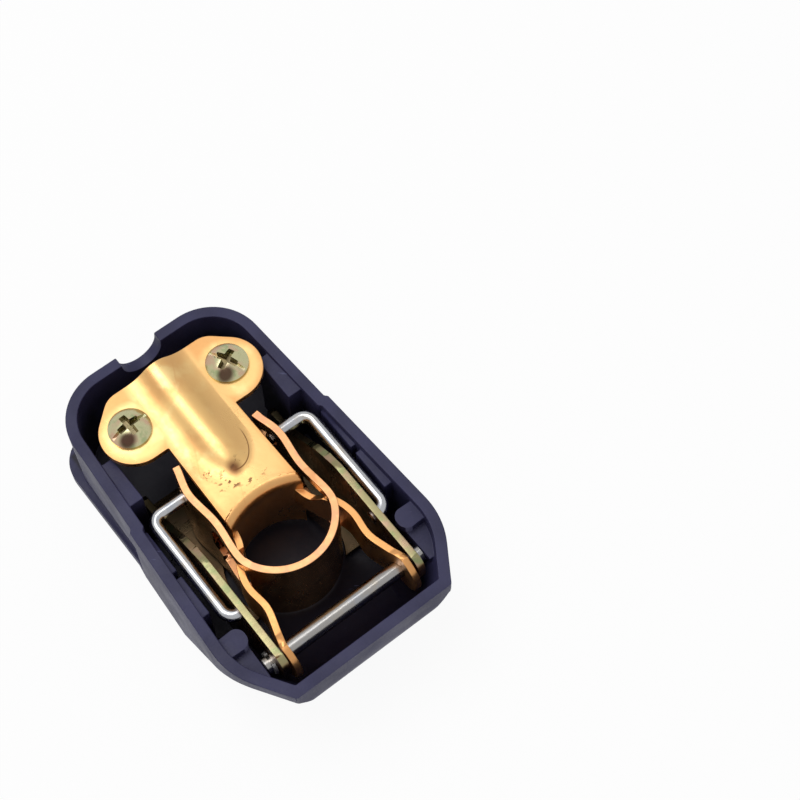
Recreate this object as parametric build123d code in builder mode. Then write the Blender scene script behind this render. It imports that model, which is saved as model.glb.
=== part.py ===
from build123d import *
import math
import os

os.makedirs("parts", exist_ok=True)

# Battery terminal clamp, lying on the outside of its lever cover with the open side up.
# Z is the axis of the battery post, +X points to the free end of the lever, the cable leaves along -X.

# Fits and gaps
turning_play = 0.05  # radial play of a pin or wire that turns
slip_gap = 0.35  # space between two pieces that move past each other
thread_play = 0.05
far = 60.0  # longer than any piece, for blocks that only cut

# Cover
cover_back_room = 6.5  # from the back end of the terminal plate to the outside of the cover
cover_front_room = 8.5  # from the pivot pin to the outside of the cover
rim_z = 20.0
top_t = 2.2
wall_t = 2.0
front_wall_t = 1.8
waist_y = 20.2  # half width of the skirt at the post
side_taper = 0.0528
step_x = -13.5
step_y = 0.5
shoulder_back = 9.8  # from the free end back to the shoulder
nose_y = 15.2
back_corner_r = 9.8
shoulder_r = 14.0
nose_corner_r = 0.7
nose_start_x = 6.0
nose_curve_z = 16.0
plate_edge_t = 3.2
plate_y = 19.7
plate_corner_r = 6.5
top_edge_r = 0.9
facet_run = 0.55  # how far the shoulder leans in for each millimetre down
facet_top_z = 17.5
facet_wall_t = 1.6
grip_depth = 1.1
grip_back_x = -36.0
grip_h = 6.0
cable_notch_r = 3.9
cable_notch_z = 15.4
label_x = -8.0
label_long = 14.0
label_wide = 10.0
label_deep = 0.4

# Stops and pads inside the cover
block_back_x = -26.0
block_front_x = -17.0
block_y = 14.7
block_z = 19.5
rib_back_x = -30.0
rib_y = 16.7
hook_x = 10.0
hook_front_x = 19.5
hook_y = 15.8
hook_z = 18.8
hook_low_z = 17.0
hook_crest_long = 3.8
hook_crest_y = 15.2
hook_tip_r = 1.7
panel_y = 17.5
panel_z = 18.6

# Sheet metal
sheet_t = 1.25
flange_y = 14.0  # outer faces of the lever bracket
flange_top_z = 20.6
bracket_back_x = -22.0
bracket_front_x = 20.7

# Pivot pin
pin_x = 17.3
pin_z = 16.0
pin_r = 1.5
pin_half = 15.8
ring_t = 0.6
ring_r = 2.0
ring_groove = 0.35

# Link wires
wire_r = 1.1
wire_front_x = 8.3
wire_back_x = -13.4
wire_z = 18.2
wire_y = 15.7
wire_bend_r = 1.9

# Clamp band
post_r = 8.75
band_top_z = 22.4
band_bottom_z = 4.2
band_leave_angle = 66.0
band_end_x = -17.0
band_waist_x = -5.0
band_waist_y = 8.42
band_swell_x = -12.5
band_swell_y = 8.95
band_end_y = 7.85
slide_travel = 4.4
eye_long = 1.9  # how much the wire wanders along its eye
eye_high = 0.5
window_back = 1.6  # how far the window reaches past its travel
window_front_x = 4.4
window_back_r = 3.4

# Terminal plate
plate_top_z = 21.8
plate_t = 1.2
lug_x = -26.7
lug_y = 9.35
lug_r = 6.0
plate_back_x = -34.4
back_round_y = 8.2
back_round_r = 4.0
neck_y = 6.7
bend_y = 7.05
bend_x = -2.6
bend_bow = 1.9
bend_r = 1.7  # outside radius of the bend down to the saddle
bend_t = 1.9
saddle_bow = 3.3
saddle_bottom_z = 4.4
arm_top_z = 19.95
arm_end_r = 4.45
arm_root_low_z = 13.2  # the arm is narrower where it leaves the saddle
arm_root_top_z = 18.2
arm_root_x = -0.4
arm_full_x = 1.3

# Cable seat
cable_r = 3.3
cable_drop = 2.2  # axis of the cable below the top of the plate
cable_z = plate_top_z - cable_drop
ogee_straight_x = -17.5
ogee_long = 7.5
ridge_high = 1.75  # crest of the ridge above the plate
ridge_r = 4.2
ridge_long = 8.7
ridge_blend_r = 6.5  # the ridge swells softly out of the plate
bar_past_screw = 3.9
bar_wide = 9.0
bar_t = 1.5
bar_top_z = plate_top_z - plate_t - 0.4

# Screws
screw_x = -27.4
screw_y = 9.8
screw_r = 1.95
screw_head_r = 3.65
screw_head_h = 2.1
screw_edge_h = 0.5  # straight rim under the dome of the head
screw_long = 9.3
slot_w = 0.55
slot_deep = 1.35
cross_w = 1.25
cross_long = 4.1
cross_deep = 1.6
cross_taper = 9.0
left_drive_angle = 94.0
right_drive_angle = 26.0

cover_back_x = plate_back_x - cover_back_room
cover_front_x = pin_x + cover_front_room
shoulder_x = cover_front_x - shoulder_back
facet_lean = math.atan(facet_run)
flange_in_y = flange_y - sheet_t


def skirt_y(x):
    return waist_y + side_taper * x


def mirrored(points):
    other_side = [(x, -y) for x, y in reversed(points)]
    return points + other_side


def corner_at(sketch, x, y):
    return sketch.vertices().sort_by_distance((x, y, 0))[0]


# Outline of the skirt, seen along Z
back_corner = (cover_back_x, skirt_y(cover_back_x))
shoulder = (shoulder_x, skirt_y(shoulder_x) + step_y)
nose = (cover_front_x, nose_y)
step_back = (step_x, skirt_y(step_x))
step_front = (step_x + step_y, skirt_y(step_x) + step_y)
with BuildSketch() as skirt_plan:
    Polygon(*mirrored([back_corner, step_back, step_front, shoulder, nose]), align=None)
    for side in (1, -1):
        fillet(corner_at(skirt_plan, back_corner[0], side * back_corner[1]), back_corner_r)
        fillet(corner_at(skirt_plan, shoulder[0], side * shoulder[1]), shoulder_r)
        fillet(corner_at(skirt_plan, nose[0], side * nose[1]), nose_corner_r)

# Outline of the top plate, which stands out past the back half of the skirt
plate_corner = (cover_back_x, plate_y)
plate_end = (step_x - 1.5, plate_y)
with BuildSketch() as plate_plan:
    Polygon(*mirrored([plate_corner, plate_end, step_front, shoulder, nose]), align=None)
    for side in (1, -1):
        fillet(corner_at(plate_plan, plate_corner[0], side * plate_corner[1]), plate_corner_r)
        fillet(corner_at(plate_plan, shoulder[0], side * shoulder[1]), shoulder_r)
        fillet(corner_at(plate_plan, nose[0], side * nose[1]), nose_corner_r)


def nose_cutter(inset, floor_z):
    # what lies outside the quarter ellipse that rounds the free end down to the top
    long_r = cover_front_x - nose_start_x - inset
    high_r = nose_curve_z - floor_z
    with BuildPart() as cutter:
        with BuildSketch(Plane.XZ) as profile:
            with BuildLine():
                curve = EllipticalCenterArc((nose_start_x, nose_curve_z), long_r, high_r, -90, arc_size=90)
                Polyline(
                    curve @ 1,
                    (cover_front_x + far, nose_curve_z),
                    (cover_front_x + far, -far),
                    (nose_start_x, -far),
                    curve @ 0,
                )
            make_face()
        extrude(amount=2 * plate_y, both=True)
    return cutter.part


def facet_plane(side, inset):
    run = Vector(nose[0] - shoulder[0], nose[1] - shoulder[1], 0).normalized()
    outward = Vector(-run.Y, run.X, 0)
    tilted = Vector(
        outward.X * math.cos(facet_lean), side * outward.Y * math.cos(facet_lean), -math.sin(facet_lean)
    )
    start = Vector(shoulder[0], side * shoulder[1], facet_top_z) - tilted * inset
    return Plane(origin=start, z_dir=tilted)


# Outer form of the cover
with BuildPart() as form:
    with BuildSketch(Plane.XY.offset(plate_edge_t)):
        add(skirt_plan.sketch)
    extrude(amount=rim_z - plate_edge_t)
    with BuildSketch():
        add(plate_plan.sketch)
    extrude(amount=plate_edge_t)
    add(nose_cutter(0, 0), mode=Mode.SUBTRACT)
    for side in (1, -1):
        split(bisect_by=facet_plane(side, 0), keep=Keep.BOTTOM)
    top_edges = form.faces().sort_by(Axis.Z)[0].edges().filter_by(GeomType.LINE)
    fillet(top_edges.filter_by(lambda e: e.center().X < plate_end[0]), top_edge_r)

# Hollow of the cover
with BuildPart() as hollow:
    with BuildSketch(Plane.XY.offset(top_t)):
        add(skirt_plan.sketch)
        offset(amount=-wall_t, kind=Kind.INTERSECTION)
    extrude(amount=rim_z)
    add(nose_cutter(front_wall_t, top_t), mode=Mode.SUBTRACT)
    for side in (1, -1):
        split(bisect_by=facet_plane(side, facet_wall_t), keep=Keep.BOTTOM)

# Blocks, ribs, hooks and wall panels that stand inside the cover
with BuildPart() as stops:
    for side in (1, -1):
        with BuildSketch(Plane.XY.offset(top_t / 2)) as block_plan:
            with Locations((block_back_x, side * block_y)):
                toward = Align.MIN if side > 0 else Align.MAX
                Rectangle(block_front_x - block_back_x, 10, align=(Align.MIN, toward))
            with Locations((rib_back_x, side * rib_y)):
                Rectangle(block_back_x - rib_back_x + 1, 10, align=(Align.MIN, toward))
        extrude(amount=block_z - top_t / 2)
        with BuildSketch(Plane.XY.offset(top_t / 2)) as hook_plan:
            with Locations((hook_x, side * hook_y)):
                Rectangle(hook_front_x - hook_x, 10, align=(Align.MIN, toward))
            fillet(corner_at(hook_plan, hook_x, side * hook_y), hook_tip_r)
        extrude(amount=hook_low_z - top_t / 2)
        with BuildSketch(Plane.XY.offset(hook_low_z)) as crest_plan:
            with Locations((hook_x, side * hook_crest_y)):
                Rectangle(hook_crest_long, 10, align=(Align.MIN, toward))
            for corner_x in (hook_x, hook_x + hook_crest_long):
                fillet(corner_at(crest_plan, corner_x, side * hook_crest_y), hook_tip_r)
        extrude(amount=hook_z - hook_low_z)
        with BuildSketch(Plane.XY.offset(top_t / 2)):
            for start_x, end_x in ((-12.0, -3.6), (-2.4, 5.5)):
                with Locations((start_x, side * panel_y)):
                    Rectangle(end_x - start_x, 10, align=(Align.MIN, toward))
        extrude(amount=panel_z - top_t / 2)

with BuildPart() as cover:
    add(form.part)
    add(hollow.part, mode=Mode.SUBTRACT)
    add(stops.part & form.part)
    # finger grip under the edge of the top plate
    for side in (1, -1):
        with BuildSketch(Plane.XZ.offset(-side * (skirt_y(step_x) - grip_depth))):
            Polygon(
                (grip_back_x, plate_edge_t),
                (step_x - 0.4, plate_edge_t),
                (step_x - 0.4, plate_edge_t + grip_h),
                (grip_back_x, plate_edge_t + 0.6),
                align=None,
            )
        extrude(amount=-side * 6, mode=Mode.SUBTRACT)
    # notch the cable passes through
    with BuildSketch(Plane.YZ.offset(cover_back_x - 1)):
        with Locations((0, cable_notch_z + cable_notch_r)):
            Circle(cable_notch_r)
            Rectangle(2 * cable_notch_r, rim_z, align=(Align.CENTER, Align.MIN))
    extrude(amount=wall_t + 3, mode=Mode.SUBTRACT)
    # recessed panel with a plain bar on the outside
    with BuildSketch():
        with Locations((label_x, 0)):
            RectangleRounded(label_wide, label_long, 1.0)
            Rectangle(1.6, label_long * 0.45, mode=Mode.SUBTRACT)
    extrude(amount=label_deep, mode=Mode.SUBTRACT)

# Lever bracket: a channel that lies in the cover and carries the pin and the wires
with BuildPart() as lever_bracket:
    with BuildSketch(Plane.XZ.offset(-flange_y)) as flange_side:
        Polygon(
            (bracket_back_x, top_t),
            (nose_start_x, top_t),
            (8.0, 4.6),
            (14.0, 9.2),
            (18.0, 13.0),
            (bracket_front_x, 15.5),
            (bracket_front_x, flange_top_z),
            (-1.5, flange_top_z),
            (-4.5, 19.5),
            (-7.6, 17.7),
            (-11.6, 14.2),
            (-15.5, 11.2),
            (bracket_back_x, 9.6),
            align=None,
        )
        fillet(corner_at(flange_side, bracket_front_x, flange_top_z), 2.4)
        fillet(corner_at(flange_side, bracket_front_x, 15.5), 1.2)
        for x, z, corner_r in ((-1.5, flange_top_z, 5.0), (-4.5, 19.5, 6.0), (-7.6, 17.7, 5.0)):
            fillet(corner_at(flange_side, x, z), corner_r)
        fillet(corner_at(flange_side, -15.5, 11.2), 4.0)
        fillet(corner_at(flange_side, bracket_back_x, 9.6), 2.0)
        with Locations((pin_x, pin_z)):
            Circle(pin_r, mode=Mode.SUBTRACT)
        with Locations((wire_front_x, wire_z)):
            Circle(wire_r + turning_play, mode=Mode.SUBTRACT)
    extrude(amount=sheet_t)
    mirror(about=Plane.XZ)
    with BuildSketch(Plane.XY.offset(top_t)):
        with Locations((bracket_back_x, 0)):
            Rectangle(nose_start_x - bracket_back_x, 2 * flange_y, align=(Align.MIN, Align.CENTER))
        Circle(post_r + sheet_t + slip_gap, mode=Mode.SUBTRACT)
    extrude(amount=sheet_t)

# Pivot pin with a groove for a retaining ring near each end
ring_y = flange_y + 0.2
with BuildPart() as pivot_pin:
    with BuildSketch(Plane.XZ.offset(-pin_half)):
        with Locations((pin_x, pin_z)):
            Circle(pin_r)
    extrude(amount=2 * pin_half)
    chamfer(pivot_pin.edges().filter_by(GeomType.CIRCLE), 0.25)
    for side in (1, -1):
        groove_y = ring_y if side > 0 else -ring_y - ring_t
        with BuildSketch(Plane.XZ.offset(-groove_y)):
            with Locations((pin_x, pin_z)):
                Circle(pin_r + 1)
                Circle(pin_r - ring_groove, mode=Mode.SUBTRACT)
        extrude(amount=-ring_t, mode=Mode.SUBTRACT)


def retaining_ring(side):
    near_y = ring_y if side > 0 else -ring_y - ring_t
    with BuildPart() as ring:
        with BuildSketch(Plane.XZ.offset(-near_y - 0.03)):
            with Locations((pin_x, pin_z)):
                Circle(ring_r)
                Circle(pin_r - ring_groove + 0.02, mode=Mode.SUBTRACT)
                Rectangle(1.9, ring_r + 1, align=(Align.CENTER, Align.MIN), mode=Mode.SUBTRACT)
        extrude(amount=-(ring_t - 0.06))
    return ring.part


# Link wire: one rod bent twice, from the bracket to the eye of the band
def link_wire(side):
    tip_y = side * (flange_in_y - 0.4)
    eye_tip_y = side * 7.8
    with BuildPart() as wire:
        with BuildLine() as path:
            FilletPolyline(
                (wire_front_x, tip_y, wire_z),
                (wire_front_x, side * wire_y, wire_z),
                (wire_back_x, side * wire_y, wire_z),
                (wire_back_x, eye_tip_y, wire_z),
                radius=wire_bend_r,
            )
        with BuildSketch(Plane(origin=path.line @ 0, z_dir=path.line % 0)):
            Circle(wire_r)
        sweep()
        tips = wire.edges().filter_by(GeomType.CIRCLE).filter_by(lambda e: abs(e.radius - wire_r) < 1e-4)
        ends = tips.filter_by(lambda e: abs(e.center().Y) < flange_y - 1)
        chamfer(ends, 0.25)
    return wire.part


# Clamp band: a strip round the front of the post with two arms that run back beside the plate
band_mid_r = post_r + sheet_t / 2
leave = math.radians(band_leave_angle)
with BuildPart() as clamp_band:
    with BuildSketch(Plane.XY.offset(band_bottom_z)):
        with BuildLine():
            front_arc = CenterArc((0, 0), band_mid_r, -band_leave_angle, 2 * band_leave_angle)
            for side in (1, -1):
                tangent = Vector(-math.sin(leave), side * math.cos(leave))
                Spline(
                    (band_mid_r * math.cos(leave), side * band_mid_r * math.sin(leave)),
                    (band_waist_x, side * band_waist_y),
                    (band_swell_x, side * band_swell_y),
                    (band_end_x, side * band_end_y),
                    tangents=(tangent, Vector(-1, -side * 0.15)),
                )
        trace(line_width=sheet_t)
    extrude(amount=band_top_z - band_bottom_z)
    for side in (1, -1):
        # window the jaw arm passes through
        window_back_x = -slide_travel - window_back
        with BuildSketch(Plane.XZ.offset(-side * 6)) as window:
            with Locations((window_back_x, arm_top_z + slip_gap)):
                Rectangle(
                    window_front_x - window_back_x,
                    arm_top_z + 2 * slip_gap - (pin_z - arm_end_r),
                    align=(Align.MIN, Align.MAX),
                )
            fillet(window.vertices().group_by(Axis.X)[-1], 0.8)
            fillet(window.vertices().group_by(Axis.X)[0], window_back_r)
        extrude(amount=-side * 6, mode=Mode.SUBTRACT)
        # eye the link wire hooks into
        with BuildSketch(Plane.XZ.offset(-side * 6)):
            with Locations((wire_back_x - eye_long / 2 + 0.1, wire_z - eye_high / 2 + 0.1)):
                RectangleRounded(
                    eye_long + 2 * (wire_r + 0.1) + 0.2,
                    eye_high + 2 * (wire_r + 0.1),
                    wire_r + 0.1,
                )
        extrude(amount=-side * 6, mode=Mode.SUBTRACT)

# Terminal plate: lugs for the screws, half-round cable seat, saddle against the post, two jaw arms
plate_bottom_z = plate_top_z - plate_t


def crescent(z, front_x, bow, thick):
    with BuildSketch(Plane.XY.offset(z)) as moon:
        with BuildLine():
            front = ThreePointArc((front_x, -bend_y), (front_x - bow, 0), (front_x, bend_y))
            back_x = front_x - thick
            back = ThreePointArc((back_x, -bend_y), (back_x - bow, 0), (back_x, bend_y))
            Line(front @ 1, back @ 1)
            Line(back @ 0, front @ 0)
        make_face()
    return moon.sketch.face()


with BuildPart() as saddle:
    top_moon = crescent(plate_top_z, bend_x, bend_bow, bend_t)
    low_moon = crescent(saddle_bottom_z, bend_x - 0.2, saddle_bow, plate_t)
    loft([low_moon, top_moon])
    bend_edge = saddle.edges().group_by(Axis.Z)[-1].sort_by_distance((bend_x - bend_bow, 0, plate_top_z))[0]
    fillet(bend_edge, bend_r)

arm_mid_y = flange_in_y - slip_gap - plate_t / 2
arm_low_z = pin_z - arm_end_r


def jaw_arm(side):
    with BuildPart() as arm:
        with BuildSketch(Plane.XY.offset(arm_low_z)):
            with BuildLine():
                Spline(
                    (bend_x - 1.0, side * (bend_y - 0.7)),
                    (-0.6, side * 7.2),
                    (2.0, side * 9.0),
                    (4.5, side * 10.1),
                    (7.0, side * 10.4),
                    (10.4, side * 10.05),
                    (14.0, side * 10.85),
                    (pin_x, side * arm_mid_y),
                    (pin_x + arm_end_r + 0.2, side * arm_mid_y),
                    tangents=((1, side * 0.1), (1, 0)),
                )
            trace(line_width=plate_t)
        extrude(amount=2 * arm_end_r)
        with BuildSketch(Plane.XZ.offset(-side * 5)):
            with Locations((pin_x, pin_z)):
                Circle(arm_end_r)
                Circle(pin_r + turning_play, mode=Mode.SUBTRACT)
            Polygon(
                (bend_x - 2, arm_root_low_z),
                (arm_root_x, arm_root_low_z),
                (arm_full_x, arm_low_z),
                (pin_x - 1.6, arm_low_z),
                (pin_x - 1.6, arm_top_z),
                (arm_full_x, arm_top_z),
                (arm_root_x, arm_root_top_z),
                (bend_x - 2, arm_root_top_z),
                align=None,
            )
        extrude(amount=-side * 10, mode=Mode.INTERSECT)
    return arm.part


def cable_ogee(radius, axis_z, tip_long):
    # half-round form with a pointed front end, turned about an axis along X
    with BuildPart() as ogee:
        with BuildSketch(Plane.XZ):
            with BuildLine():
                tip = EllipticalCenterArc((ogee_straight_x, axis_z), tip_long, radius, 0, arc_size=90)
                Polyline(tip @ 1, (-far, (tip @ 1).Y), (-far, axis_z), tip @ 0)
            make_face()
        revolve(axis=Axis((0, 0, axis_z), (1, 0, 0)))
        split(bisect_by=Plane.XY.offset(plate_bottom_z), keep=Keep.TOP)
    return ogee.part


back_round_x = plate_back_x + back_round_r
with BuildPart() as plate_blank:
    with BuildSketch(Plane.XY.offset(plate_bottom_z)):
        with BuildSketch(mode=Mode.PRIVATE) as rounds:
            with Locations((lug_x, lug_y), (lug_x, -lug_y)):
                Circle(lug_r)
            with Locations((back_round_x, back_round_y), (back_round_x, -back_round_y)):
                Circle(back_round_r)
        make_hull(rounds.sketch.edges())
        with BuildLine():
            end_x = bend_x - bend_t
            bend = ThreePointArc((end_x, -bend_y), (end_x - bend_bow, 0), (end_x, bend_y))
            Polyline(bend @ 1, (lug_x + lug_r / 3, neck_y), (lug_x + lug_r / 3, -neck_y), bend @ 0)
        make_face()
    extrude(amount=plate_t)

with BuildPart() as over_plate:
    with BuildSketch(Plane.XY.offset(plate_bottom_z)):
        with Locations((plate_back_x, 0)):
            Rectangle(far, 2 * lug_y, align=(Align.MIN, Align.CENTER))
    extrude(amount=2 * cable_r)

ridge_z = plate_top_z + ridge_high - ridge_r
with BuildPart() as terminal_plate:
    add(plate_blank.part)
    add(cable_ogee(ridge_r, ridge_z, ridge_long) & over_plate.part)
    on_top = terminal_plate.edges().filter_by_position(Axis.Z, plate_top_z - 0.01, plate_top_z + 0.01)
    foot = on_top.filter_by_position(Axis.X, plate_back_x + plate_t, ogee_straight_x + ridge_long)
    fillet(foot.filter_by(lambda e: abs(e.center().Y) < neck_y - plate_t), ridge_blend_r)
    add(cable_ogee(cable_r, cable_z, ogee_long), mode=Mode.SUBTRACT)
    add(saddle.part)
    for side in (1, -1):
        add(jaw_arm(side))
    with BuildSketch(Plane.XY.offset(plate_bottom_z)):
        with Locations((screw_x, screw_y), (screw_x, -screw_y)):
            Circle(screw_r + 0.25)
    extrude(amount=plate_t, mode=Mode.SUBTRACT)

# Clamp bar under the plate, with a trough for the cable and two threaded holes
bar_low_z = bar_top_z - bar_t
with BuildPart() as cable_clamp_bar:
    with BuildSketch(Plane.YZ.offset(screw_x - bar_wide / 2)):
        with Locations((0, bar_low_z)):
            Rectangle(2 * (screw_y + bar_past_screw), bar_t, align=(Align.CENTER, Align.MIN))
        with Locations((0, cable_z)):
            Circle(cable_r + bar_t)
        with Locations((0, bar_top_z)):
            Rectangle(4 * cable_r, 10, align=(Align.CENTER, Align.MIN), mode=Mode.SUBTRACT)
        with Locations((0, cable_z)):
            Circle(cable_r, mode=Mode.SUBTRACT)
    extrude(amount=bar_wide)
    fillet(cable_clamp_bar.edges().filter_by(Axis.Z).filter_by(lambda e: abs(e.center().Y) > screw_y), 2.5)
    with BuildSketch(Plane.XY.offset(bar_low_z)):
        with Locations((screw_x, screw_y), (screw_x, -screw_y)):
            Circle(screw_r + thread_play)
    extrude(amount=bar_t, mode=Mode.SUBTRACT)


def clamp_screw(side, drive_angle):
    axis_y = side * screw_y
    edge_z = plate_top_z + screw_edge_h
    dome_h = screw_head_h - screw_edge_h
    dome_r = (screw_head_r**2 + dome_h**2) / (2 * dome_h)
    half_angle = math.asin(screw_head_r / dome_r) / 2
    dome_mid_z = edge_z + dome_h - dome_r * (1 - math.cos(half_angle))
    tip_z = plate_top_z - screw_long
    with BuildPart() as screw:
        with BuildSketch(Plane(origin=(screw_x, axis_y, 0), x_dir=(1, 0, 0), z_dir=(0, -1, 0))):
            with BuildLine():
                dome = ThreePointArc(
                    (screw_head_r, edge_z),
                    (dome_r * math.sin(half_angle), dome_mid_z),
                    (0, edge_z + dome_h),
                )
                Polyline(
                    dome @ 1,
                    (0, tip_z),
                    (screw_r - 0.4, tip_z),
                    (screw_r, tip_z + 0.4),
                    (screw_r, plate_top_z),
                    (screw_head_r, plate_top_z),
                    dome @ 0,
                )
            make_face()
        revolve(axis=Axis((screw_x, axis_y, 0), (0, 0, 1)))
        # cross recess, and a shallow slot that runs out in the dome
        with BuildSketch(Plane.XY.offset(edge_z + dome_h)):
            with Locations(Location((screw_x, axis_y), drive_angle)):
                Rectangle(cross_long, cross_w)
                Rectangle(cross_w, cross_long)
        extrude(amount=-cross_deep, taper=cross_taper, mode=Mode.SUBTRACT)
        with BuildSketch(Plane.XY.offset(edge_z + dome_h)):
            with Locations(Location((screw_x, axis_y), drive_angle)):
                Rectangle(3 * screw_head_r, slot_w)
        extrude(amount=-slot_deep, mode=Mode.SUBTRACT)
    return screw.part


left_retaining_ring = retaining_ring(-1)
right_retaining_ring = retaining_ring(1)
left_link_wire = link_wire(-1)
right_link_wire = link_wire(1)
left_clamp_screw = clamp_screw(-1, left_drive_angle)
right_clamp_screw = clamp_screw(1, right_drive_angle)

cover.part.label = "cover"
export_step(cover.part, "parts/cover.step")
lever_bracket.part.label = "lever_bracket"
export_step(lever_bracket.part, "parts/lever_bracket.step")
pivot_pin.part.label = "pivot_pin"
export_step(pivot_pin.part, "parts/pivot_pin.step")
left_retaining_ring.label = "left_retaining_ring"
export_step(left_retaining_ring, "parts/left_retaining_ring.step")
right_retaining_ring.label = "right_retaining_ring"
export_step(right_retaining_ring, "parts/right_retaining_ring.step")
terminal_plate.part.label = "terminal_plate"
export_step(terminal_plate.part, "parts/terminal_plate.step")
cable_clamp_bar.part.label = "cable_clamp_bar"
export_step(cable_clamp_bar.part, "parts/cable_clamp_bar.step")
left_clamp_screw.label = "left_clamp_screw"
export_step(left_clamp_screw, "parts/left_clamp_screw.step")
right_clamp_screw.label = "right_clamp_screw"
export_step(right_clamp_screw, "parts/right_clamp_screw.step")
clamp_band.part.label = "clamp_band"
export_step(clamp_band.part, "parts/clamp_band.step")
left_link_wire.label = "left_link_wire"
export_step(left_link_wire, "parts/left_link_wire.step")
right_link_wire.label = "right_link_wire"
export_step(right_link_wire, "parts/right_link_wire.step")
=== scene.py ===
import bpy, bmesh, math
from mathutils import Matrix, Vector
from mathutils.bvhtree import BVHTree


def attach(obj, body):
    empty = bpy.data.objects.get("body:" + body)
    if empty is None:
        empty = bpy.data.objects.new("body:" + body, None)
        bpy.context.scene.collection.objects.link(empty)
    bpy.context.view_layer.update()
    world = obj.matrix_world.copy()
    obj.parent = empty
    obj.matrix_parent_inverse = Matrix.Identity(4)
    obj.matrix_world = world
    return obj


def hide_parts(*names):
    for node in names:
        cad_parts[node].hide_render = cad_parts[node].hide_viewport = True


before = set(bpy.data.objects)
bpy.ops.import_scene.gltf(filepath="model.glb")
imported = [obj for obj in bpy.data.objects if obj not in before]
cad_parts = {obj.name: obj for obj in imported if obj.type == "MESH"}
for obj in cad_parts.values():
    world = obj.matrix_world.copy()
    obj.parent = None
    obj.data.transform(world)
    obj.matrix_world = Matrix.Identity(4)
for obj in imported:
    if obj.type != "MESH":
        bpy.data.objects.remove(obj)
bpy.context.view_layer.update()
scene = bpy.context.scene
scene.view_settings.view_transform = "Standard"
print("frame loaded:", len(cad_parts), "CAD pieces")

# Camera
camera = {
    "right": (0.616637, 0.787207, -0.008037),
    "down": (0.702017, -0.554469, -0.446918),
    "place": (0.10179, -0.05199, 0.28788),
    "ahead": (-0.356273, 0.269944, -0.894539),
    "lens": 81.0,
}


def makeCamera():
    data = bpy.data.cameras.new("studioCamera")
    data.sensor_width = 36.0
    data.lens = camera["lens"]
    data.clip_start = 0.01
    data.clip_end = 10.0
    sides = (camera["right"], -Vector(camera["down"]), -Vector(camera["ahead"]))
    turn = Matrix(sides).transposed().to_4x4()
    obj = bpy.data.objects.new("studioCamera", data)
    obj.matrix_world = Matrix.Translation(camera["place"]) @ turn
    scene.collection.objects.link(obj)
    scene.camera = obj


makeCamera()
print("camera ready")


# Small helpers for node trees
def addNode(tree, kind, inputs=None, **settings):
    made = tree.nodes.new(kind)
    for key, value in settings.items():
        setattr(made, key, value)
    for key, value in (inputs or {}).items():
        if isinstance(value, bpy.types.NodeSocket):
            tree.links.new(value, made.inputs[key])
        else:
            made.inputs[key].default_value = value
    return made


def newGroup(name, inputs, outputs):
    tree = bpy.data.node_groups.new(name, "ShaderNodeTree")
    for label, kind, start in inputs:
        socket = tree.interface.new_socket(name=label, in_out="INPUT", socket_type="NodeSocket" + kind)
        if start is not None:
            socket.default_value = start
    for label, kind in outputs:
        tree.interface.new_socket(name=label, in_out="OUTPUT", socket_type="NodeSocket" + kind)
    return tree, tree.nodes.new("NodeGroupInput"), tree.nodes.new("NodeGroupOutput")


def useGroup(tree, group, inputs):
    made = tree.nodes.new("ShaderNodeGroup")
    made.node_tree = group
    for key, value in inputs.items():
        if isinstance(value, bpy.types.NodeSocket):
            tree.links.new(value, made.inputs[key])
        else:
            made.inputs[key].default_value = value
    return made


def rgb(colour):
    return (*colour, 1.0)


def math2(tree, operation, a, b=0.5, clamp=False):
    return addNode(tree, "ShaderNodeMath", {0: a, 1: b}, operation=operation, use_clamp=clamp).outputs[0]


def times(tree, a, b):
    return math2(tree, "MULTIPLY", a, b)


def vectorMath(tree, operation, a, b=None):
    inputs = {0: a} if b is None else {0: a, 1: b}
    return addNode(tree, "ShaderNodeVectorMath", inputs, operation=operation)


def mixColour(tree, factor, a, b):
    made = addNode(tree, "ShaderNodeMix", {0: factor, 6: a, 7: b}, data_type="RGBA")
    return made.outputs[2]


def noise(tree, vector, scale, detail, **more):
    return addNode(tree, "ShaderNodeTexNoise", {"Vector": vector, "Scale": scale, "Detail": detail, **more})


def ramp(tree, value, low, high, outLow=0.0, outHigh=1.0):
    return addNode(
        tree,
        "ShaderNodeMapRange",
        {"Value": value, "From Min": low, "From Max": high, "To Min": outLow, "To Max": outHigh},
        interpolation_type="SMOOTHSTEP",
    ).outputs["Result"]


# Plating that wanders between three tints
wander = {
    "shift": (0.31, 0.17, 0.53),
    "finer": 1.7,
    "warmFrom": (0.5, 0.68),
    "paleFrom": (0.5, 0.66),
}


def makeTintGroup():
    tree, ins, outs = newGroup(
        "platingTint",
        [
            ("Vector", "Vector", None),
            ("Scale", "Float", 120.0),
            ("Main", "Color", rgb((0.9, 0.6, 0.3))),
            ("Warm", "Color", rgb((0.8, 0.4, 0.15))),
            ("Pale", "Color", rgb((1.0, 0.8, 0.4))),
            ("Amount", "Float", 1.0),
        ],
        [("Color", "Color")],
    )
    vector, scale, amount = ins.outputs["Vector"], ins.outputs["Scale"], ins.outputs["Amount"]
    broad = noise(tree, vector, scale, 3.0)
    shifted = addNode(tree, "ShaderNodeMapping", {"Vector": vector, "Location": wander["shift"]})
    other = noise(tree, shifted.outputs[0], times(tree, scale, wander["finer"]), 4.0)
    warmMask = times(tree, ramp(tree, broad.outputs["Fac"], *wander["warmFrom"]), amount)
    paleMask = times(tree, ramp(tree, other.outputs["Fac"], *wander["paleFrom"]), amount)
    colour = mixColour(tree, warmMask, ins.outputs["Main"], ins.outputs["Warm"])
    colour = mixColour(tree, paleMask, colour, ins.outputs["Pale"])
    tree.links.new(colour, outs.inputs["Color"])
    return tree


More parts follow.
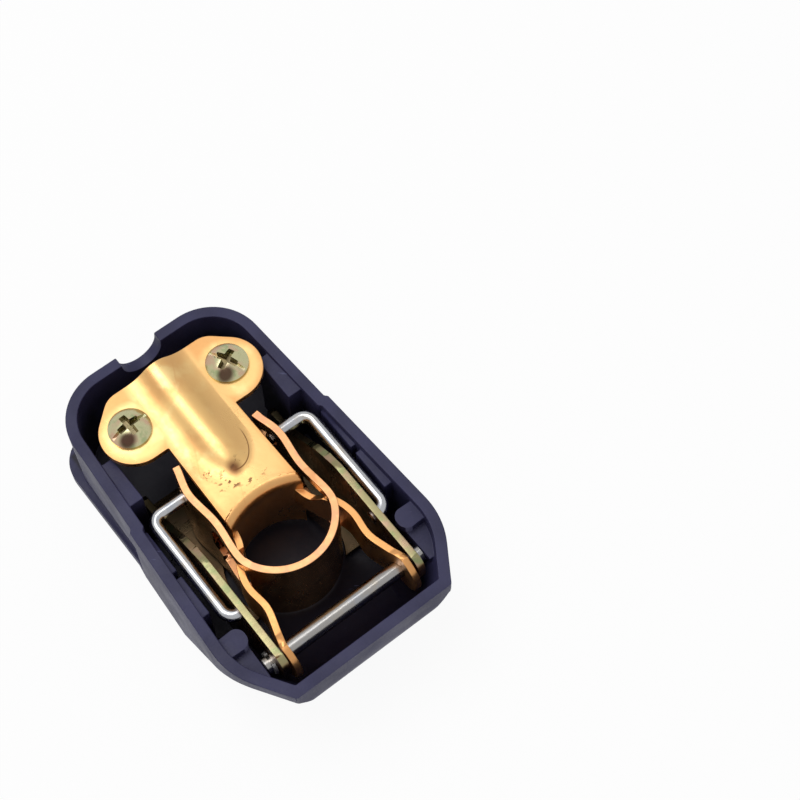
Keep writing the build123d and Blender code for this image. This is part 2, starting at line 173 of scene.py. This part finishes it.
# Fine surface grain for bump and roughness
grainMix = {"broadScale": 0.08, "fine": 0.45, "broad": 0.55, "spread": (0.35, 0.65)}


def makeGrainGroup():
    tree, ins, outs = newGroup(
        "surfaceGrain",
        [
            ("Vector", "Vector", None),
            ("Scale", "Float", 2000.0),
            ("Stretch", "Vector", (1.0, 1.0, 1.0)),
            ("Smooth", "Float", 0.3),
            ("Rough", "Float", 0.45),
        ],
        [("Height", "Float"), ("Roughness", "Float")],
    )
    scale = ins.outputs["Scale"]
    place = addNode(
        tree, "ShaderNodeMapping", {"Vector": ins.outputs["Vector"], "Scale": ins.outputs["Stretch"]}
    )
    fine = noise(tree, place.outputs[0], scale, 4.0, Roughness=0.6)
    broad = noise(tree, place.outputs[0], times(tree, scale, grainMix["broadScale"]), 3.0)
    both = math2(
        tree,
        "ADD",
        times(tree, fine.outputs["Fac"], grainMix["fine"]),
        times(tree, broad.outputs["Fac"], grainMix["broad"]),
    )
    low, high = grainMix["spread"]
    rough = addNode(
        tree,
        "ShaderNodeMapRange",
        {
            "Value": both,
            "From Min": low,
            "From Max": high,
            "To Min": ins.outputs["Smooth"],
            "To Max": ins.outputs["Rough"],
        },
    )
    tree.links.new(fine.outputs["Fac"], outs.inputs["Height"])
    tree.links.new(rough.outputs["Result"], outs.inputs["Roughness"])
    return tree


# Sparse marks: scratches when stretched, specks when not
markMix = {"patchScale": 0.2, "patchFrom": (0.45, 0.6), "softness": 0.05}


def makeMarkGroup():
    tree, ins, outs = newGroup(
        "handlingMarks",
        [
            ("Vector", "Vector", None),
            ("Scale", "Float", 400.0),
            ("Stretch", "Vector", (1.0, 1.0, 1.0)),
            ("Turn", "Float", 0.0),
            ("Rarity", "Float", 0.66),
        ],
        [("Mask", "Float")],
    )
    vector, scale, rarity = ins.outputs["Vector"], ins.outputs["Scale"], ins.outputs["Rarity"]
    turn = addNode(tree, "ShaderNodeCombineXYZ", {"Z": ins.outputs["Turn"]})
    turned = addNode(tree, "ShaderNodeMapping", {"Vector": vector, "Rotation": turn.outputs[0]})
    place = addNode(
        tree, "ShaderNodeMapping", {"Vector": turned.outputs[0], "Scale": ins.outputs["Stretch"]}
    )
    fine = noise(tree, place.outputs[0], scale, 2.0)
    patch = noise(tree, vector, times(tree, scale, markMix["patchScale"]), 1.0)
    mask = ramp(tree, fine.outputs["Fac"], rarity, math2(tree, "ADD", rarity, markMix["softness"]))
    near = ramp(tree, patch.outputs["Fac"], *markMix["patchFrom"])
    tree.links.new(times(tree, mask, near), outs.inputs["Mask"])
    return tree


# A soft round patch at one place of the piece
def makePatchGroup():
    tree, ins, outs = newGroup(
        "roundPatch",
        [
            ("Vector", "Vector", None),
            ("Centre", "Vector", (0.0, 0.0, 0.0)),
            ("Shape", "Vector", (1.0, 1.0, 1.0)),
            ("Inner", "Float", 0.001),
            ("Outer", "Float", 0.003),
        ],
        [("Mask", "Float")],
    )
    away = vectorMath(tree, "SUBTRACT", ins.outputs["Vector"], ins.outputs["Centre"])
    shaped = vectorMath(tree, "MULTIPLY", away.outputs[0], ins.outputs["Shape"])
    length = vectorMath(tree, "LENGTH", shaped.outputs[0])
    mask = ramp(tree, length.outputs["Value"], ins.outputs["Inner"], ins.outputs["Outer"], 1.0, 0.0)
    tree.links.new(mask, outs.inputs["Mask"])
    return tree


tintGroup = makeTintGroup()
grainGroup = makeGrainGroup()
markGroup = makeMarkGroup()
patchGroup = makePatchGroup()
print("shared finishes ready")


def newMaterial(name):
    mat = bpy.data.materials.new(name)
    mat.use_nodes = True
    tree = mat.node_tree
    shader = tree.nodes["Principled BSDF"]
    place = addNode(tree, "ShaderNodeTexCoord")
    return mat, tree, shader, place.outputs["Object"]


def tinted(tree, vector, tints):
    inputs = {"Vector": vector, "Scale": tints["scale"], "Amount": tints["amount"]}
    for label in ("Main", "Warm", "Pale"):
        inputs[label] = rgb(tints[label.lower()])
    return useGroup(tree, tintGroup, inputs).outputs["Color"]


def patchMask(tree, vector, patch):
    return useGroup(tree, patchGroup, {"Vector": vector, **patch}).outputs["Mask"]


def markMask(tree, vector, marks):
    return useGroup(tree, markGroup, {"Vector": vector, **marks}).outputs["Mask"]


def addGrain(tree, shader, vector, grain, lift=None):
    made = useGroup(tree, grainGroup, {"Vector": vector, **grain["group"]})
    rough = made.outputs["Roughness"]
    if lift is not None:
        rough = math2(tree, "ADD", rough, lift)
    tree.links.new(rough, shader.inputs["Roughness"])
    bump = addNode(
        tree,
        "ShaderNodeBump",
        {"Height": made.outputs["Height"], "Distance": grain["deep"], "Strength": grain["strength"]},
    )
    tree.links.new(bump.outputs["Normal"], shader.inputs["Normal"])


# 1 on faces that look along Z, 0 on upright ones
flatFrom = (0.45, 0.8)


def flatness(tree):
    normal = addNode(tree, "ShaderNodeTexCoord").outputs["Normal"]
    parts = addNode(tree, "ShaderNodeSeparateXYZ", {0: normal})
    return ramp(tree, math2(tree, "ABSOLUTE", parts.outputs["Z"]), *flatFrom)


def makeTintedMetal(name, tints, grain):
    mat, tree, shader, vector = newMaterial(name)
    tree.links.new(tinted(tree, vector, tints), shader.inputs["Base Color"])
    addGrain(tree, shader, vector, grain)
    shader.inputs["Metallic"].default_value = 1.0
    return mat


# Cover
coverLook = {
    # colour of the painted shade inside the hollow
    "hollow": (0.0075, 0.0062, 0.016),
    "wall": (0.022, 0.021, 0.058),
    "rim": (0.033, 0.032, 0.083),
    "scuff": (0.11, 0.12, 0.24),
    "cloudScale": 160.0,
    "cloudFrom": (0.3, 0.7),
    "hollowX": (-0.0390, 0.0238),
    "hollowY": 0.0184,
    "hollowTopZ": 0.0175,
    "hollowFloorZ": (0.0004, 0.0016),
    "hollowSoft": 0.0008,
    "hollowFade": 0.006,
    "hollowCentre": (-0.0060, 0.0, 0.0100),
    "facingFrom": -0.0030,
    "marks": {"Scale": 900.0, "Stretch": (1.0, 0.25, 1.0), "Turn": 0.6, "Rarity": 0.69},
    "scuffed": 0.6,
    "grain": {"group": {"Scale": 2600.0, "Smooth": 0.42, "Rough": 0.6}, "deep": 0.00004, "strength": 0.5},
    "specular": 0.28,
}


# mask for the painted shade on the faces inside the hollow
def hollowMask(tree, vector):
    look = coverLook
    parts = addNode(tree, "ShaderNodeSeparateXYZ", {0: vector})
    backX, frontX = look["hollowX"]
    soft = look["hollowSoft"]
    alongX = times(
        tree,
        ramp(tree, parts.outputs["X"], backX, backX + soft),
        ramp(tree, parts.outputs["X"], frontX - soft, frontX, 1.0, 0.0),
    )
    across = math2(tree, "ABSOLUTE", parts.outputs["Y"])
    acrossY = ramp(tree, across, look["hollowY"] - soft, look["hollowY"], 1.0, 0.0)
    topZ = look["hollowTopZ"]
    below = ramp(tree, parts.outputs["Z"], topZ - look["hollowFade"], topZ, 1.0, 0.0)
    above = ramp(tree, parts.outputs["Z"], *look["hollowFloorZ"])
    hollow = times(tree, times(tree, alongX, acrossY), times(tree, below, above))
    # only the faces that look into the hollow
    fromCentre = vectorMath(tree, "SUBTRACT", vector, look["hollowCentre"])
    normal = addNode(tree, "ShaderNodeTexCoord").outputs["Normal"]
    facing = vectorMath(tree, "DOT_PRODUCT", normal, fromCentre.outputs["Vector"])
    inward = ramp(tree, facing.outputs["Value"], look["facingFrom"], 0.0, 1.0, 0.0)
    return times(tree, hollow, inward)


def makeCoverPlastic():
    look = coverLook
    mat, tree, shader, vector = newMaterial("navyPlastic")
    cloud = noise(tree, vector, look["cloudScale"], 4.0)
    cloudy = ramp(tree, cloud.outputs["Fac"], *look["cloudFrom"])
    colour = mixColour(tree, cloudy, rgb(look["wall"]), rgb(look["rim"]))
    # painted shade in the hollow
    colour = mixColour(tree, hollowMask(tree, vector), colour, rgb(look["hollow"]))
    marks = markMask(tree, vector, look["marks"])
    colour = mixColour(tree, times(tree, marks, look["scuffed"]), colour, rgb(look["scuff"]))
    tree.links.new(colour, shader.inputs["Base Color"])
    addGrain(tree, shader, vector, look["grain"])
    shader.inputs["Specular IOR Level"].default_value = look["specular"]
    return mat


# Terminal plate
plateLook = {
    "tints": {
        "main": (0.69, 0.44, 0.175),
        "pale": (0.78, 0.62, 0.29),
        "warm": (0.54, 0.26, 0.095),
        "scale": 110.0,
        "amount": 0.55,
    },
    # painted shade on the right flank of the ridge
    "flankShade": (0.55, 0.33, 0.135),
    "flankY": (0.0004, 0.003),
    "flankEndY": (0.006, 0.0085),
    "bendX": (-0.0085, -0.004),
    "warmAtBend": 0.8,
    "neckY": (0.0058, 0.0070),
    "lobes": ((-0.0267, -0.00935, 0.0), (-0.0267, 0.00935, 0.0)),
    "lobe": {"Shape": (1.0, 1.0, 0.0), "Inner": 0.0046, "Outer": 0.0060},
    "warmAtRim": 0.7,
    "burnt": (0.10, 0.02, 0.012),
    "burntAt": {
        "Centre": (-0.0110, -0.0005, 0.0222),
        "Shape": (0.8, 1.0, 1.0),
        "Inner": 0.0002,
        "Outer": 0.0019,
    },
    "burntDark": 0.85,
    "soot": (0.12, 0.06, 0.03),
    "sootAt": {
        "Centre": (-0.0095, 0.0, 0.0218),
        "Shape": (1.2, 0.62, 0.5),
        "Inner": 0.0012,
        "Outer": 0.0048,
    },
    "specks": {"Scale": 1500.0, "Stretch": (1.0, 0.6, 1.0), "Rarity": 0.58},
    "dotsAt": {
        "Centre": (-0.0140, -0.0042, 0.0218),
        "Shape": (0.7, 1.1, 0.5),
        "Inner": 0.0006,
        "Outer": 0.0024,
    },
    "dots": {"Scale": 2400.0, "Rarity": 0.56},
    # painted shade along the crease beside the drawn tip
    "crease": (0.10, 0.032, 0.012),
    "creaseCentre": (-0.0160, 0.0004, 0.0),
    "creaseShape": (1 / 0.0055, 1 / 0.0040, 0.0),
    "creaseWide": (0.006, 0.030),
    "creaseDark": 0.8,
    "creaseX": (-0.0170, -0.0150),
    "creaseY": (-0.0012, 0.0006),
    "creaseZ": (0.0214, 0.0217),
    "lines": {"Scale": 500.0, "Stretch": (0.12, 3.0, 1.0), "Turn": 0.4, "Rarity": 0.66},
    "lined": 0.3,
    "edge": (0.72, 0.37, 0.14),
    "edged": 0.75,
    "grain": {"group": {"Scale": 1600.0, "Smooth": 0.26, "Rough": 0.46}, "deep": 0.00002, "strength": 0.35},
}


# mask for the painted shade along the crease
def creaseShadeMask(tree, vector, parts):
    look = plateLook
    away = vectorMath(tree, "SUBTRACT", vector, look["creaseCentre"])
    oval = vectorMath(tree, "MULTIPLY", away.outputs[0], look["creaseShape"])
    reach = vectorMath(tree, "LENGTH", oval.outputs[0])
    off = math2(tree, "ABSOLUTE", math2(tree, "SUBTRACT", reach.outputs["Value"], 1.0))
    line = ramp(tree, off, *look["creaseWide"], look["creaseDark"], 0.0)
    for axis in "XYZ":
        line = times(tree, line, ramp(tree, parts.outputs[axis], *look["crease" + axis]))
    return line


def makePlateGold():
    look = plateLook
    mat, tree, shader, vector = newMaterial("goldPlating")
    parts = addNode(tree, "ShaderNodeSeparateXYZ", {0: vector})
    warm = rgb(look["tints"]["warm"])
    colour = tinted(tree, vector, look["tints"])
    # painted shade on the right flank of the ridge, warmer towards the bend over the post
    flankShadeMask = times(
        tree,
        ramp(tree, parts.outputs["Y"], *look["flankY"]),
        ramp(tree, parts.outputs["Y"], *look["flankEndY"], 0.6, 0.0),
    )
    colour = mixColour(tree, flankShadeMask, colour, rgb(look["flankShade"]))
    bend = ramp(tree, parts.outputs["X"], *look["bendX"], 0.0, look["warmAtBend"])
    colour = mixColour(tree, bend, colour, warm)
    # copper shows through at the rolled rim of the lobes
    inside = ramp(tree, math2(tree, "ABSOLUTE", parts.outputs["Y"]), *look["neckY"], 1.0, 0.0)
    for centre in look["lobes"]:
        core = patchMask(tree, vector, {"Centre": centre, **look["lobe"]})
        inside = math2(tree, "MAXIMUM", inside, core)
    rolled = times(tree, math2(tree, "SUBTRACT", 1.0, inside), look["warmAtRim"])
    colour = mixColour(tree, rolled, colour, warm)
    # burnt spot at the drawn tip of the ridge, with soot round it
    burnt = times(tree, patchMask(tree, vector, look["burntAt"]), look["burntDark"])
    colour = mixColour(tree, burnt, colour, rgb(look["burnt"]))
    for place, marks in (("sootAt", "specks"), ("dotsAt", "dots")):
        soot = times(tree, patchMask(tree, vector, look[place]), markMask(tree, vector, look[marks]))
        colour = mixColour(tree, soot, colour, rgb(look["soot"]))
    # painted shade along a crease on one side of the drawn tip
    colour = mixColour(tree, creaseShadeMask(tree, vector, parts), colour, rgb(look["crease"]))
    # hair lines and the copper coloured cut edge
    lines = times(tree, markMask(tree, vector, look["lines"]), look["lined"])
    colour = mixColour(tree, lines, colour, warm)
    upright = times(tree, math2(tree, "SUBTRACT", 1.0, flatness(tree)), look["edged"])
    colour = mixColour(tree, upright, colour, rgb(look["edge"]))
    tree.links.new(colour, shader.inputs["Base Color"])
    addGrain(tree, shader, vector, look["grain"])
    shader.inputs["Metallic"].default_value = 1.0
    return mat


# Clamp bar
barLook = {
    "tints": {
        "main": (0.80, 0.52, 0.22),
        "warm": (0.62, 0.33, 0.12),
        "pale": (0.9, 0.7, 0.36),
        "scale": 150.0,
        "amount": 0.8,
    },
    "grain": {"group": {"Scale": 1500.0, "Smooth": 0.3, "Rough": 0.5}, "deep": 0.00002, "strength": 0.4},
}


# Clamp band
bandLook = {
    "face": {
        "main": (0.58, 0.31, 0.12),
        "warm": (0.30, 0.14, 0.055),
        "pale": (0.72, 0.46, 0.20),
        "scale": 190.0,
        "amount": 0.8,
    },
    "edge": {
        "main": (0.64, 0.32, 0.15),
        "warm": (0.58, 0.27, 0.15),
        "pale": (0.68, 0.38, 0.18),
        "scale": 420.0,
        "amount": 0.8,
    },
    "lines": {"Scale": 700.0, "Stretch": (0.3, 0.3, 4.0), "Rarity": 0.66},
    "lined": 0.4,
    "shearedRough": 0.16,
    "grain": {
        "group": {"Scale": 1500.0, "Stretch": (1.0, 1.0, 0.25), "Smooth": 0.16, "Rough": 0.28},
        "deep": 0.000008,
        "strength": 0.35,
    },
}


def makeBandCopper():
    look = bandLook
    mat, tree, shader, vector = newMaterial("copperBand")
    face = tinted(tree, vector, look["face"])
    colour = mixColour(tree, flatness(tree), face, tinted(tree, vector, look["edge"]))
    lines = times(tree, markMask(tree, vector, look["lines"]), look["lined"])
    colour = mixColour(tree, lines, colour, rgb(look["face"]["warm"]))
    tree.links.new(colour, shader.inputs["Base Color"])
    # the sheared edges are rougher than the rolled faces
    sheared = ramp(tree, flatness(tree), 0.0, 1.0, 0.0, look["shearedRough"])
    addGrain(tree, shader, vector, look["grain"], sheared)
    shader.inputs["Metallic"].default_value = 1.0
    return mat


# Lever bracket
bracketLook = {
    "edge": {
        "main": (0.25, 0.22, 0.115),
        "warm": (0.33, 0.22, 0.15),
        "pale": (0.20, 0.22, 0.105),
        "scale": 260.0,
        "amount": 0.9,
    },
    # upright faces: a dark brown painted reflection over the zinc
    "face": {
        "main": (0.30, 0.15, 0.065),
        "warm": (0.16, 0.065, 0.030),
        "pale": (0.045, 0.030, 0.018),
        "scale": 130.0,
        "amount": 0.9,
    },
    # painted shade at the back end and down inside the cover
    "bracketShade": (0.045, 0.030, 0.018),
    "bracketShadeX": (-0.0145, -0.0105),
    "bracketShadeZ": (0.008, 0.014),
    "grain": {
        "group": {"Scale": 1500.0, "Stretch": (3.0, 0.4, 0.4), "Smooth": 0.22, "Rough": 0.42},
        "deep": 0.00002,
        "strength": 0.4,
    },
}


def makeBracketZinc():
    look = bracketLook
    mat, tree, shader, vector = newMaterial("oliveZinc")
    # the upright faces take the painted reflection, the flat edges the olive zinc
    face = tinted(tree, vector, look["face"])
    colour = mixColour(tree, flatness(tree), face, tinted(tree, vector, look["edge"]))
    # painted shade at the back end and down inside the cover
    parts = addNode(tree, "ShaderNodeSeparateXYZ", {0: vector})
    back = ramp(tree, parts.outputs["X"], *look["bracketShadeX"], 0.85, 0.0)
    low = ramp(tree, parts.outputs["Z"], *look["bracketShadeZ"], 0.95, 0.0)
    colour = mixColour(tree, math2(tree, "MAXIMUM", back, low), colour, rgb(look["bracketShade"]))
    tree.links.new(colour, shader.inputs["Base Color"])
    addGrain(tree, shader, vector, look["grain"])
    shader.inputs["Metallic"].default_value = 1.0
    return mat


# Pin, wires and rings
wireLook = {
    "bright": (0.40, 0.405, 0.42),
    "pin": (0.29, 0.28, 0.27),
    "tints": {"warm": (0.36, 0.30, 0.22), "pale": (0.27, 0.29, 0.33), "scale": 240.0, "amount": 0.5},
    "group": {"Scale": 1800.0, "Smooth": 0.14, "Rough": 0.30},
    "pinStretch": (1.0, 0.15, 1.0),
    "wireStretch": (0.3, 0.6, 1.0),
}
ringLook = {
    "tints": {
        "main": (0.42, 0.42, 0.42),
        "warm": (0.22, 0.19, 0.16),
        "pale": (0.60, 0.60, 0.58),
        "scale": 400.0,
        "amount": 0.8,
    },
    "grain": {"group": {"Scale": 2500.0, "Smooth": 0.35, "Rough": 0.6}, "deep": 0.00002, "strength": 0.4},
}


def makeBrightZinc(name, bright, stretch):
    grain = {"group": {"Stretch": stretch, **wireLook["group"]}, "deep": 0.00002, "strength": 0.5}
    return makeTintedMetal(name, {"main": bright, **wireLook["tints"]}, grain)


# Cable screws
screwLook = {
    "tints": {
        "main": (0.48, 0.46, 0.27),
        "warm": (0.52, 0.36, 0.24),
        "pale": (0.34, 0.38, 0.20),
        "scale": 330.0,
        "amount": 1.0,
    },
    "centres": ((-0.0274, -0.0098, 0.0222), (-0.0274, 0.0098, 0.0222)),
    # painted shade in the drive recess
    "recessShade": (0.11, 0.07, 0.035),
    "recessShadeAt": {"Shape": (0.45, 0.45, 1.0), "Inner": 0.0007, "Outer": 0.0010},
    "recessShadeDark": 0.8,
    # painted reflection of dark surroundings low on the dome
    "paintedReflection": (0.055, 0.022, 0.016),
    "paintedReflectionFrom": (0.0020, -0.0016, 0.0006),
    "paintedReflectionAt": {"Shape": (1.0, 0.85, 0.3), "Inner": 0.0007, "Outer": 0.0017},
    "paintedReflectionDark": 0.92,
    "grain": {"group": {"Scale": 1400.0, "Smooth": 0.16, "Rough": 0.34}, "deep": 0.00003, "strength": 0.4},
}


def makeScrewZinc(centre):
    look = screwLook
    mat, tree, shader, vector = newMaterial("yellowZincScrew")
    colour = tinted(tree, vector, look["tints"])
    paintedReflectionPlace = tuple(a + b for a, b in zip(centre, look["paintedReflectionFrom"]))
    # painted shade in the drive recess, then a painted reflection low on the dome
    for name, place in (("recessShade", centre), ("paintedReflection", paintedReflectionPlace)):
        patch = patchMask(tree, vector, {"Centre": place, **look[name + "At"]})
        colour = mixColour(tree, times(tree, patch, look[name + "Dark"]), colour, rgb(look[name]))
    tree.links.new(colour, shader.inputs["Base Color"])
    addGrain(tree, shader, vector, look["grain"])
    shader.inputs["Metallic"].default_value = 1.0
    return mat


screwPlaces = screwLook["centres"]
looks = {
    "cover": makeCoverPlastic(),
    "lever_bracket": makeBracketZinc(),
    "pivot_pin": makeBrightZinc("zincPin", wireLook["pin"], wireLook["pinStretch"]),
    "left_retaining_ring": makeTintedMetal("springRing", ringLook["tints"], ringLook["grain"]),
    "terminal_plate": makePlateGold(),
    "cable_clamp_bar": makeTintedMetal("goldBar", barLook["tints"], barLook["grain"]),
    "left_clamp_screw": makeScrewZinc(screwPlaces[0]),
    "right_clamp_screw": makeScrewZinc(screwPlaces[1]),
    "clamp_band": makeBandCopper(),
    "left_link_wire": makeBrightZinc("zincWire", wireLook["bright"], wireLook["wireStretch"]),
}
looks["right_retaining_ring"] = looks["left_retaining_ring"]
looks["right_link_wire"] = looks["left_link_wire"]
for nodeName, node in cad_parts.items():
    for holder in node.material_slots:
        holder.material = looks[nodeName]
print("finishes on", len(looks), "pieces")


# Copies of the stamped and moulded pieces with their sharp edges broken
softEdges = {
    "cover": {
        "name": "coverShell",
        "slot": "cover_plastic",
        "body": "lever",
        "width": 0.00019,
        "angle": 35.0,
    },
    "lever_bracket": {
        "name": "bracketSheet",
        "slot": "bracket_steel",
        "body": "lever",
        "width": 0.00012,
        "angle": 40.0,
    },
    "terminal_plate": {
        "name": "plateSheet",
        "slot": "plate_brass",
        "body": "jaw",
        "width": 0.00012,
        "angle": 40.0,
    },
    "clamp_band": {
        "name": "bandSheet",
        "slot": "band_copper",
        "body": "band",
        "width": 0.00012,
        "angle": 40.0,
    },
}
soften = {
    "sameVert": 0.000001,
    "tinyEdge": 0.000002,
    "flatAngle": 0.6,
    "longEnough": 3.0,
    "thrownOff": 0.5,
    "sharpAngle": 50.0,
    "normalWeight": 75,
}


def softenNode(nodeName, soft):
    work = bmesh.new()
    work.from_mesh(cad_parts[nodeName].data)
    bmesh.ops.remove_doubles(work, verts=work.verts, dist=soften["sameVert"])
    bmesh.ops.dissolve_degenerate(work, dist=soften["tinyEdge"], edges=work.edges)
    flat = math.radians(soften["flatAngle"])
    bmesh.ops.dissolve_limit(work, angle_limit=flat, verts=work.verts, edges=work.edges)
    source = BVHTree.FromBMesh(work)
    lowest = [min(v.co[axis] for v in work.verts) for axis in range(3)]
    highest = [max(v.co[axis] for v in work.verts) for axis in range(3)]
    turned = math.radians(soft["angle"])
    steep = [e for e in work.edges if e.is_manifold and e.calc_face_angle() > turned]
    sharp = [e for e in steep if e.calc_length() > soften["longEnough"] * soft["width"]]
    bmesh.ops.bevel(
        work,
        geom=sharp,
        offset=soft["width"],
        offset_type="OFFSET",
        segments=2,
        profile=0.5,
        affect="EDGES",
        clamp_overlap=False,
        material=-1,
        miter_outer="ARC",
    )
    # a corner that the bevel threw off the piece goes back onto its surface
    for vert in work.verts:
        near, _, _, away = source.find_nearest(vert.co)
        if away > soften["thrownOff"] * soft["width"]:
            vert.co = near
        for axis in range(3):
            vert.co[axis] = min(max(vert.co[axis], lowest[axis]), highest[axis])
    bmesh.ops.remove_doubles(work, verts=work.verts, dist=soften["tinyEdge"])
    bmesh.ops.dissolve_degenerate(work, dist=soften["tinyEdge"], edges=work.edges)
    bmesh.ops.recalc_face_normals(work, faces=work.faces)
    mesh = bpy.data.meshes.new(soft["name"])
    work.to_mesh(mesh)
    work.free()
    mesh.shade_smooth()
    mesh.set_sharp_from_angle(angle=math.radians(soften["sharpAngle"]))
    mesh.materials.clear()
    mesh.materials.append(looks[nodeName])
    obj = bpy.data.objects.new(soft["name"], mesh)
    scene.collection.objects.link(obj)
    evenNormals = obj.modifiers.new("evenNormals", "WEIGHTED_NORMAL")
    evenNormals.keep_sharp = True
    evenNormals.weight = soften["normalWeight"]
    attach(obj, soft["body"])
    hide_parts(nodeName)
    print("softened", nodeName, len(mesh.polygons), "faces")


for nodeName, soft in softEdges.items():
    softenNode(nodeName, soft)


# Floor, backdrop light and lamps
studio = {
    "floorSize": 3.0,
    "floorDrop": 0.00005,
    "floorRough": 0.7,
    "floorSpecular": 0.1,
    "floorColour": (0.90, 0.90, 0.90),
    "floorGlow": 0.93,
    "skyForDiffuse": 0.5,
    "keyPlace": (-0.22, -0.12, 0.75),
    "keySize": 0.5,
    "keyPower": 2.6,
    "keyAim": (-0.008, 0.0, 0.01),
}


def shownRays(tree):
    path = addNode(tree, "ShaderNodeLightPath")
    seen = math2(tree, "ADD", path.outputs["Is Camera Ray"], path.outputs["Is Glossy Ray"])
    return math2(tree, "ADD", seen, path.outputs["Is Transmission Ray"], True)


def makeFloor():
    work = bmesh.new()
    bmesh.ops.create_grid(work, x_segments=1, y_segments=1, size=studio["floorSize"] / 2)
    mesh = bpy.data.meshes.new("floor")
    work.to_mesh(mesh)
    work.free()
    mesh.transform(Matrix.Translation((0, 0, -studio["floorDrop"])))
    mat = bpy.data.materials.new("floorWhite")
    mat.use_nodes = True
    tree = mat.node_tree
    shader = tree.nodes["Principled BSDF"]
    shader.inputs["Base Color"].default_value = rgb(studio["floorColour"])
    shader.inputs["Roughness"].default_value = studio["floorRough"]
    shader.inputs["Specular IOR Level"].default_value = studio["floorSpecular"]
    glow = addNode(tree, "ShaderNodeEmission", {"Color": (1, 1, 1, 1), "Strength": 1.0})
    factor = math2(tree, "MULTIPLY", shownRays(tree), studio["floorGlow"])
    mixed = addNode(tree, "ShaderNodeMixShader", {0: factor, 1: shader.outputs[0], 2: glow.outputs[0]})
    tree.links.new(mixed.outputs[0], tree.nodes["Material Output"].inputs["Surface"])
    mesh.materials.append(mat)
    obj = bpy.data.objects.new("floor", mesh)
    scene.collection.objects.link(obj)


def makeSky():
    world = bpy.data.worlds.new("studio")
    scene.world = world
    world.use_nodes = True
    tree = world.node_tree
    back = tree.nodes["Background"]
    back.inputs["Color"].default_value = (1, 1, 1, 1)
    strength = ramp(tree, shownRays(tree), 0.0, 1.0, studio["skyForDiffuse"], 1.0)
    tree.links.new(strength, back.inputs["Strength"])


def makeKey():
    data = bpy.data.lights.new("softBox", "AREA")
    data.shape = "SQUARE"
    data.size = studio["keySize"]
    data.energy = studio["keyPower"]
    obj = bpy.data.objects.new("softBox", data)
    obj.location = studio["keyPlace"]
    aim = Vector(studio["keyAim"]) - Vector(studio["keyPlace"])
    obj.rotation_mode = "QUATERNION"
    obj.rotation_quaternion = aim.to_track_quat("-Z", "Y")
    scene.collection.objects.link(obj)


makeFloor()
makeSky()
makeKey()
print("studio ready")
